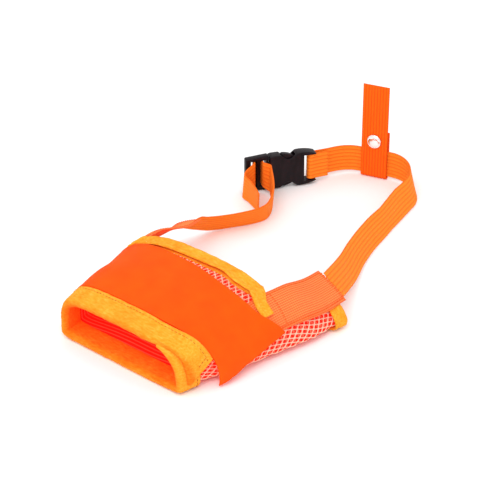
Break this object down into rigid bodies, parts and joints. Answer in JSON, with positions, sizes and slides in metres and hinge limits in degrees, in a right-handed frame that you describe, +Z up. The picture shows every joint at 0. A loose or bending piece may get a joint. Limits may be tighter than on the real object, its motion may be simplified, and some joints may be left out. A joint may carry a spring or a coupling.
{
  "type": "dog muzzle",
  "caption": "Soft muzzle for a dog: a mesh sleeve with fleece-bound edges and a cover band over the snout, and a webbing neck loop closed by a side-release buckle.",
  "frame": {"origin": "centre of the bounding box on the table that the muzzle lies on", "axes": "+X runs from the neck loop to the nose opening, +Y to the wearer's left, +Z up off the table"},
  "size_m": [0.3061, 0.1719, 0.0738],
  "materials": {
    "mesh": "open diamond net, pale peach strands over red",
    "fleece": "brushed amber fleece",
    "cover_cloth": "fine plain-weave nylon, deep orange",
    "elastic": "finely ribbed elastic, orange",
    "webbing": "ribbed polypropylene webbing, orange",
    "tab_webbing": "ribbed polypropylene webbing, deep orange",
    "plastic": "moulded black acetal",
    "snap_metal": "polished nickel plate"
  },
  "bodies": {
    "sleeve": {"mesh_sleeve": "mesh", "front_binding": "fleece", "bridge_binding": "fleece", "rear_binding": "fleece", "cover_band": "cover_cloth", "patch_left": "elastic", "patch_right": "elastic", "strap_root_left": "webbing", "strap_root_right": "webbing"},
    "neck_loop": {"neck_strap_left": "webbing", "neck_strap_right": "webbing", "buckle_female": "plastic"},
    "male_half": {"buckle_male": "plastic", "adjuster_loop": "webbing"},
    "upper_prong": {"prong_upper": "plastic"},
    "lower_prong": {"prong_lower": "plastic"},
    "tab": {"tab_loop": "tab_webbing", "snap_cap": "snap_metal", "snap_socket": "snap_metal"},
    "tab_flap": {"tab_back": "tab_webbing", "snap_stud": "snap_metal", "snap_post": "snap_metal"}
  },
  "joints": [
    {"name": "neck_lift", "type": "hinge", "parent": "sleeve", "child": "neck_loop", "pos_m": [0.0226, 0.0071, 0.0227], "axis": [0, 1, 0], "range_deg": [0, 60], "deforming": ["strap_root_left", "strap_root_right"]},
    {"name": "buckle_release", "type": "slide", "parent": "neck_loop", "child": "male_half", "axis": [0.848, -0.53, 0], "range_m": [0, 0.028], "deforming": ["adjuster_loop", "prong_upper", "prong_lower"]},
    {"name": "prong_squeeze_upper", "type": "hinge", "parent": "male_half", "child": "upper_prong", "pos_m": [-0.08314, -0.07456, 0.0237], "axis": [-0.53, -0.848, 0], "range_deg": [0, 12], "stiffness_Nm_per_rad": 0.5},
    {"name": "prong_squeeze_lower", "type": "hinge", "parent": "male_half", "child": "lower_prong", "pos_m": [-0.08314, -0.07456, 0.0043], "axis": [0.53, 0.848, 0], "range_deg": [0, 12], "stiffness_Nm_per_rad": 0.5},
    {"name": "tab_slide", "type": "slide", "parent": "neck_loop", "child": "tab", "axis": [-0.28, 0.96, 0], "range_m": [-0.004, 0.004]},
    {"name": "tab_flap_open", "type": "hinge", "parent": "tab", "child": "tab_flap", "pos_m": [-0.14952, -0.02846, 0.0044], "axis": [0.28, -0.96, 0], "range_deg": [0, 65]}
  ],
  "couplings": [
    {"joint": "prong_squeeze_lower", "follows": "prong_squeeze_upper", "ratio": 1}
  ]
}
